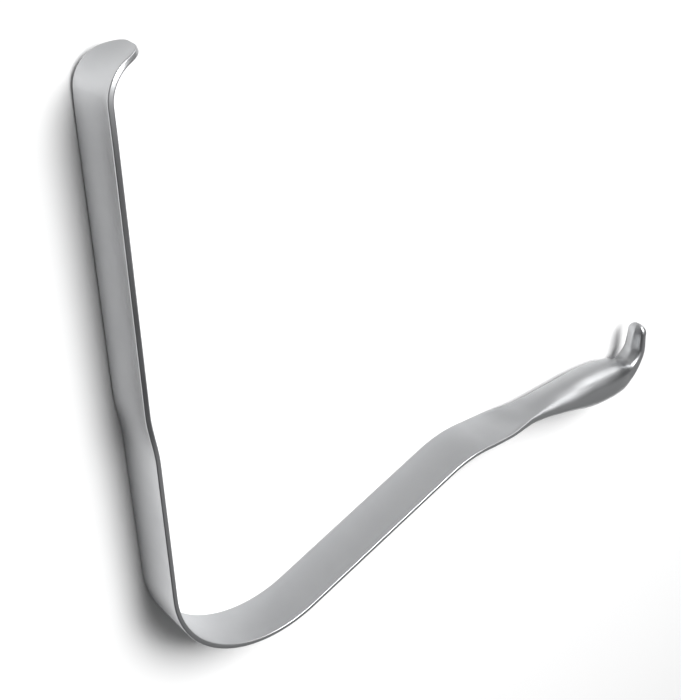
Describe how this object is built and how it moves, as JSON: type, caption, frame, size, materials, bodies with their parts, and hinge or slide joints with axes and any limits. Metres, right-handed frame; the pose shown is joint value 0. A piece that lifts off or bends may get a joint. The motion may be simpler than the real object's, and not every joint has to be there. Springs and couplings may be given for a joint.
{
  "type": "handheld surgical retractor",
  "caption": "Long-bladed hand retractor bent from one steel strip, with a turned-over lip at the blade's end and a forged grip with a finger hook.",
  "frame": {"origin": "mid-thickness of the strip, on the lower long edge that it rests on, where the neck of the blade enters the large bend", "axes": "+Z across the strip's width, square to the plane of all the bends; +Y up the blade towards its lip; +X from the blade towards the grip"},
  "size_m": [0.2703, 0.2447, 0.02],
  "materials": {
    "satin_steel": "satin"
  },
  "bodies": {
    "root": {"retractor_body": "satin_steel"}
  },
  "joints": []
}
